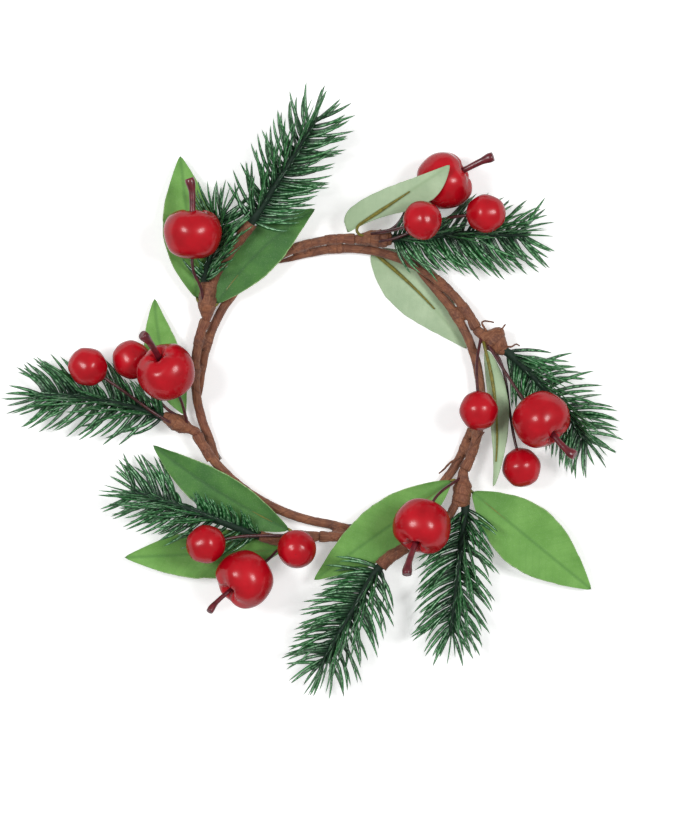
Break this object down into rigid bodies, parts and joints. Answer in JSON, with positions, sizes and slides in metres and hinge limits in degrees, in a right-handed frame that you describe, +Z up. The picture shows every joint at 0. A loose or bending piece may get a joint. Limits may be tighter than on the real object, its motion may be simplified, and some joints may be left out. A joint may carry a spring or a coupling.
{
  "type": "candle ring",
  "caption": "Loose candle ring of artificial sprays with red apples, berries, cloth leaves and fir tips, whose taped wire stems are chained into a hoop round a pillar candle.",
  "frame": {"origin": "middle of the hoop, on the table that the ring lies on", "axes": "+Z up out of the table, along a candle in the ring; +X to the right and +Y to the top of the picture, which looks straight down"},
  "size_m": [0.2176, 0.2193, 0.0338],
  "materials": {
    "paper_tape": "wound crepe paper, matt",
    "core_wire": "bare wire",
    "red_fruit": "glossy lacquer",
    "stalk_plastic": "satin",
    "coated_wire": "satin",
    "fir_plastic": "soft moulded, satin",
    "leaf_cloth": "woven, stiffened"
  },
  "bodies": {
    "hoop": {"hoop_stem_left": "paper_tape", "hoop_stem_lower_left": "paper_tape", "hoop_stem_lower_right": "paper_tape", "hoop_stem_right": "paper_tape", "hoop_stem_upper_left": "paper_tape", "hoop_stem_upper_right": "paper_tape", "hoop_ties": "paper_tape", "hoop_wire_cores": "core_wire", "leaf_upper_right_under": "leaf_cloth"},
    "spray_right": {"apple_right": "red_fruit", "apple_stalk_right": "stalk_plastic", "berry_right_a": "red_fruit", "berry_right_b": "red_fruit", "collar_right": "paper_tape", "fir_tip_right_a": "fir_plastic", "fruit_wires_right": "coated_wire", "leaf_right_a": "leaf_cloth"},
    "spray_upper_right": {"apple_stalk_upper_right": "stalk_plastic", "apple_upper_right": "red_fruit", "berry_upper_right_a": "red_fruit", "berry_upper_right_b": "red_fruit", "collar_upper_right": "paper_tape", "fir_tip_upper_right_a": "fir_plastic", "fruit_wires_upper_right": "coated_wire", "leaf_upper_right_a": "leaf_cloth"},
    "spray_upper_left": {"apple_stalk_upper_left": "stalk_plastic", "apple_upper_left": "red_fruit", "collar_upper_left": "paper_tape", "fir_tip_upper_left_a": "fir_plastic", "fir_tip_upper_left_b": "fir_plastic", "fruit_wires_upper_left": "coated_wire", "leaf_upper_left_a": "leaf_cloth", "leaf_upper_left_b": "leaf_cloth"},
    "spray_left": {"apple_left": "red_fruit", "apple_stalk_left": "stalk_plastic", "berry_left_a": "red_fruit", "berry_left_b": "red_fruit", "collar_left": "paper_tape", "fir_tip_left_a": "fir_plastic", "fruit_wires_left": "coated_wire", "leaf_left_a": "leaf_cloth"},
    "spray_lower_left": {"apple_lower_left": "red_fruit", "apple_stalk_lower_left": "stalk_plastic", "berry_lower_left_a": "red_fruit", "berry_lower_left_b": "red_fruit", "collar_lower_left": "paper_tape", "fir_tip_lower_left_a": "fir_plastic", "fruit_wires_lower_left": "coated_wire", "leaf_lower_left_a": "leaf_cloth", "leaf_lower_left_b": "leaf_cloth"},
    "spray_lower_right": {"apple_lower_right": "red_fruit", "apple_stalk_lower_right": "stalk_plastic", "collar_lower_right": "paper_tape", "fir_tip_lower_right_a": "fir_plastic", "fir_tip_lower_right_b": "fir_plastic", "fruit_wires_lower_right": "coated_wire", "leaf_lower_right_a": "leaf_cloth", "leaf_lower_right_b": "leaf_cloth"}
  },
  "joints": [
    {"name": "bend_right", "type": "hinge", "parent": "hoop", "child": "spray_right", "pos_m": [0.0485, 0.02009, 0.0064], "axis": [-0.6018, -0.7986, 0], "range_deg": [0, 35]},
    {"name": "bend_upper_right", "type": "hinge", "parent": "hoop", "child": "spray_upper_right", "pos_m": [0.0064, 0.05211, 0.0064], "axis": [0.0523, -0.9986, 0], "range_deg": [0, 35]},
    {"name": "bend_upper_left", "type": "hinge", "parent": "hoop", "child": "spray_upper_left", "pos_m": [-0.04636, 0.02465, 0.0064], "axis": [0.9994, -0.0349, 0], "range_deg": [0, 35]},
    {"name": "bend_left", "type": "hinge", "parent": "hoop", "child": "spray_left", "pos_m": [-0.05021, -0.01535, 0.0064], "axis": [0.4384, 0.8988, 0], "range_deg": [0, 35]},
    {"name": "bend_lower_left", "type": "hinge", "parent": "hoop", "child": "spray_lower_left", "pos_m": [-0.00776, -0.05192, 0.0064], "axis": [-0.1392, 0.9903, 0], "range_deg": [0, 35]},
    {"name": "bend_lower_right", "type": "hinge", "parent": "hoop", "child": "spray_lower_right", "pos_m": [0.04352, -0.02936, 0.0064], "axis": [-0.9986, 0.0523, 0], "range_deg": [0, 35]}
  ]
}
